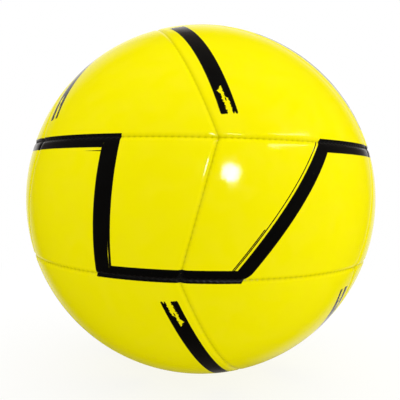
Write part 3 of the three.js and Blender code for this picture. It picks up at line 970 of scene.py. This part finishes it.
class BALL_OT_fan_panels(BallOperator, bpy.types.Operator):
    """Builds the six leaning panels above the belt and the six below it, each with a straight stripe"""

    bl_idname = "ball.fan_panels"
    bl_label = "Fan panels"

    def execute(self, context):
        cover, stitching, prints, finish = self.groups(context)
        layout = SeamLayout(cover, stitching)
        sides = layout.fan_panel()
        points, quads, triangles = panel_surface(sides, cover, stitching)
        ways = unit(points)
        crease = crease_values(ways, sides, cover, stitching)
        skin = skin_material("fan_skin", finish, fan_ink, cover, prints)
        foot, normal = layout.upper(0), layout.fan_normal(0)
        off_seam = -np.arcsin(np.clip(ways @ normal, -1, 1)) * cover.radius
        along = np.arctan2(ways @ np.cross(normal, foot), ways @ foot) * cover.radius
        half = (prints.stripe_end - prints.stripe_start) / 2
        off_middle = (along - prints.stripe_start - half) / half

        def stripe_place(bow):
            """Across from the stripe's middle, which bows away from the seam, and along, in millimetres."""
            across = off_seam - prints.stripe_inset - bow * (1 - off_middle ** 2)
            return np.stack([across, along, np.zeros_like(along)], -1) / MM

        halves = (("upper", 1, np.ones(3), stripe_place(prints.stripe_bow)),
                  ("lower", -1, TURN_OVER, stripe_place(prints.lower_bow)))
        for sector in range(BELT_PANELS):
            turned = about_axis(points, sector * SECTOR)
            band = band_place(ways, sector, cover)
            for name, sign, turn, stripe in halves:
                add_piece(f"{name}_panel_{sector + 1}", "skin", (turned * turn, quads, triangles), skin,
                          "panel_skin", crease=crease, stripe_place=stripe, belt_place=sign * band)
        return {"FINISHED"}


class BALL_OT_polar_panels(BallOperator, bpy.types.Operator):
    """Builds the six-sided panels at the poles, the top one with the valve's hole"""

    bl_idname = "ball.polar_panels"
    bl_label = "Polar panels"

    def execute(self, context):
        cover, stitching, _, finish = self.groups(context)
        sides = SeamLayout(cover, stitching).polar_panel()
        skin = skin_material("polar_skin", finish)
        for node, hole, turn in (("top_panel", cover.valve_hole_radius, np.ones(3)),
                                 ("bottom_panel", 0.0, TURN_OVER)):
            points, quads, triangles = panel_surface(sides, cover, stitching, hole)
            crease = crease_values(unit(points), sides, cover, stitching)
            add_piece(node, "skin", (points * turn, quads, triangles), skin, "panel_skin", crease=crease)
        return {"FINISHED"}


class BALL_OT_seam_stitches(BallOperator, bpy.types.Operator):
    """Builds the stitches of every seam"""

    bl_idname = "ball.seam_stitches"
    bl_label = "Seam stitches"

    def execute(self, context):
        cover, stitching, _, finish = self.groups(context)
        layout = SeamLayout(cover, stitching)
        thread = thread_material(finish)

        def add_run(node, centres, tangents):
            surface, twist = stitch_surface(centres, tangents, cover.radius, stitching)
            add_piece(node, "stitches", surface, thread, "seam_thread", twist=twist)

        def seam(start, normal, pitch, count):
            """Centres and tangents of the stitches between the two ends of a great-circle seam."""
            turns = (np.arange(1, count) * pitch / cover.radius)[:, None]
            ahead = np.cross(normal, start)
            centres = np.cos(turns) * start + np.sin(turns) * ahead
            return centres, np.cos(turns) * ahead - np.sin(turns) * start

        ring_count = BELT_PANELS * layout.ring_stitches
        longitude = layout.slant + np.arange(ring_count) * 2 * np.pi / ring_count
        longitude = np.delete(longitude, np.arange(BELT_PANELS) * layout.ring_stitches)
        ring = direction(longitude, np.full_like(longitude, layout.belt))
        ring_ahead = direction(longitude + math.pi / 2, np.zeros_like(longitude))
        add_run("upper_belt_thread", ring, ring_ahead)
        add_run("lower_belt_thread", ring * TURN_OVER, ring_ahead * TURN_OVER)
        for sector in range(BELT_PANELS):
            number = sector + 1
            add_run(f"belt_seam_thread_{number}", *seam(
                layout.lower(sector), layout.belt_normal(sector), layout.belt_pitch, layout.belt_stitches))
            centres, ahead = seam(
                layout.upper(sector), layout.fan_normal(sector), layout.fan_pitch, layout.fan_stitches)
            add_run(f"upper_seam_thread_{number}", centres, ahead)
            add_run(f"lower_seam_thread_{number}", centres * TURN_OVER, ahead * TURN_OVER)
        return {"FINISHED"}


class BALL_OT_valve(BallOperator, bpy.types.Operator):
    """Builds the valve: a round rubber housing with a self-sealing core"""

    bl_idname = "ball.valve"
    bl_label = "Valve"

    def execute(self, context):
        valve = context.scene.ball_valve
        rubber = rubber_material("valve_rubber", context.scene.ball_finish, scale=500.0)
        low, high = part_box("valve_housing")
        flange, top, bottom = high.x, high.z, low.z
        seat = bottom + valve.tail_length
        slope = math.sqrt(seat ** 2 - flange ** 2)
        lip_seat = top - valve.lip_height - valve.clearance
        recess = valve.lip_radius + valve.clearance
        housing = [
            (valve.bore_radius, bottom), (valve.neck_radius, bottom), (valve.neck_radius, seat),
            (flange, slope), (flange - valve.flange_thickness, slope + valve.flange_thickness),
            (valve.neck_radius, seat + valve.flange_thickness), (valve.neck_radius, top),
            (recess, top), (recess, lip_seat), (valve.bore_radius, lip_seat)]
        low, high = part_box("valve_core")
        lip_bottom = lip_seat + valve.clearance
        mouth_end = high.z - valve.mouth_depth
        core = [
            (0, low.z), (valve.core_radius, low.z), (valve.core_radius, lip_bottom),
            (valve.lip_radius, lip_bottom), (valve.lip_radius, high.z), (valve.mouth_radius, high.z),
            (valve.mouth_bottom, mouth_end), (0, mouth_end)]
        for node, corners, rounding in (("valve_housing", housing, valve.housing_rounding),
                                        ("valve_core", core, valve.core_rounding)):
            surface = turned_surface(rounded_profile(corners, rounding), valve.segments)
            add_piece(node, "moulded", surface, rubber, "valve_rubber")
        return {"FINISHED"}


class BALL_OT_inner_finishes(BallOperator, bpy.types.Operator):
    """Gives the bladder, the filling and the valve's patch their materials"""

    bl_idname = "ball.inner_finishes"
    bl_label = "Inner finishes"

    def execute(self, context):
        finish = context.scene.ball_finish
        for node, material in (("bladder", rubber_material("bladder_rubber", finish, scale=60.0)),
                               ("damping_foam", foam_material(finish)),
                               ("valve_patch", cloth_material(finish))):
            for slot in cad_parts[node].material_slots:
                slot.material = material
        return {"FINISHED"}


class BALL_OT_stage(BallOperator, bpy.types.Operator):
    """Sets up the floor, the light and the camera"""

    bl_idname = "ball.stage"
    bl_label = "Stage"

    def execute(self, context):
        scene, stage = context.scene, context.scene.ball_stage
        scene.view_settings.view_transform = "Standard"
        scene.world = studio_world(stage)
        self.add_floor(stage)
        self.add_camera(scene, stage)
        self.add_lamps(scene, stage)
        return {"FINISHED"}

    def add_floor(self, stage):
        """A flat disc under the ball, in rings that widen outwards."""
        rings, segments = 24, 96
        reach = stage.floor_radius * (np.arange(1, rings + 1) / rings)[:, None] ** 2
        i = np.arange(segments)
        turn = i * 2 * np.pi / segments
        points = np.stack([reach * np.cos(turn), reach * np.sin(turn),
                           np.full((rings, segments), -BALL_RADIUS)], -1).reshape(-1, 3)
        middle = np.full(segments, len(points))
        triangles = np.stack([middle, i, (i + 1) % segments], -1)
        quads = loop_faces(rings, segments, False)[:, ::-1]
        points = np.concatenate([points, [-BALL_RADIUS * UP]])
        floor = add_mesh("floor", (points, quads, triangles), floor_material())
        floor.visible_glossy = False
        floor.visible_diffuse = False

    def camera_axes(self, stage):
        """Back, right and up of a camera in front of the ball, without its roll."""
        turn, rise = stage.camera_right, stage.camera_elevation
        back = Vector((math.sin(turn) * math.cos(rise), -math.cos(turn) * math.cos(rise), math.sin(rise)))
        right = Vector((math.cos(turn), math.sin(turn), 0))
        return back, right, back.cross(right)

    def add_camera(self, scene, stage):
        """The lens makes the ball's outline the given share of the picture: a ball of radius R at distance
        D shows as a circle of the focal length times R / sqrt(D^2 - R^2)."""
        data = bpy.data.cameras.new("camera")
        distance = stage.camera_distance
        outline = BALL_RADIUS / math.sqrt(distance ** 2 - BALL_RADIUS ** 2)
        data.lens = data.sensor_width * stage.outline_share / 2 / outline
        camera = bpy.data.objects.new("camera", data)
        back, right, up = self.camera_axes(stage)
        aim = Matrix.Rotation(-stage.aim_right, 3, "Y") @ Matrix.Rotation(stage.aim_up, 3, "X")
        roll = Matrix.Rotation(stage.camera_roll, 3, "Z")
        axes = Matrix((right, up, back)).transposed() @ roll @ aim
        camera.matrix_world = Matrix.Translation(back * distance) @ axes.to_4x4()
        scene.collection.objects.link(camera)
        scene.camera = camera

    def add_lamps(self, scene, stage):
        """A round lamp beside the camera and a narrow one on the right, which make the glints. The soft
        studio light does the rest."""
        back, right, up = self.camera_axes(stage)
        key = bpy.data.lights.new("key_lamp", "AREA")
        key.shape = "DISK"
        key.size = stage.key_diameter
        key.energy = stage.key_power
        strip = bpy.data.lights.new("strip_lamp", "AREA")
        strip.shape = "RECTANGLE"
        strip.size, strip.size_y = stage.strip_length, stage.strip_width
        strip.energy = stage.strip_power
        key_way = back + right * math.tan(stage.key_right) + up * math.tan(stage.key_up)
        for data, way in ((key, key_way), (strip, Vector(stage.strip_way))):
            lamp = bpy.data.objects.new(data.name, data)
            lamp.location = way.normalized() * stage.lamp_distance
            lamp.rotation_euler = way.to_track_quat("Z", "Y").to_euler()
            lamp.visible_camera = False
            lamp.visible_diffuse = False
            scene.collection.objects.link(lamp)


class BALL_PT_sidebar(bpy.types.Panel):
    """Lists the ball's sizes and its operators"""

    bl_idname = "BALL_PT_sidebar"
    bl_label = "Futsal ball"
    bl_space_type = "VIEW_3D"
    bl_region_type = "UI"
    bl_category = "Ball"

    def draw(self, context):
        for name in GROUPS:
            box = self.layout.box()
            group = getattr(context.scene, name)
            for key in group.bl_rna.properties.keys():
                if key not in ("rna_type", "name"):
                    box.prop(group, key)
        for operator in OPERATORS:
            self.layout.operator(operator.bl_idname)


GROUPS = {
    "ball_cover": BallCover,
    "ball_stitching": BallStitching,
    "ball_print": BallPrint,
    "ball_valve": BallValve,
    "ball_finish": BallFinish,
    "ball_stage": BallStage,
}
OPERATORS = (
    BALL_OT_belt_panels,
    BALL_OT_fan_panels,
    BALL_OT_polar_panels,
    BALL_OT_seam_stitches,
    BALL_OT_valve,
    BALL_OT_inner_finishes,
    BALL_OT_stage,
)


def register():
    for cls in (*GROUPS.values(), *OPERATORS, BALL_PT_sidebar):
        bpy.utils.register_class(cls)
    for name, group in GROUPS.items():
        setattr(bpy.types.Scene, name, PointerProperty(type=group))


def unregister():
    for name in GROUPS:
        delattr(bpy.types.Scene, name)
    for cls in reversed((*GROUPS.values(), *OPERATORS, BALL_PT_sidebar)):
        bpy.utils.unregister_class(cls)


def main():
    """Builds the dressed ball."""
    register()
    bpy.ops.ball.belt_panels()
    bpy.ops.ball.fan_panels()
    bpy.ops.ball.polar_panels()
    bpy.ops.ball.seam_stitches()
    bpy.ops.ball.valve()
    bpy.ops.ball.inner_finishes()
    bpy.ops.ball.stage()


if __name__ == "__main__":
    main()
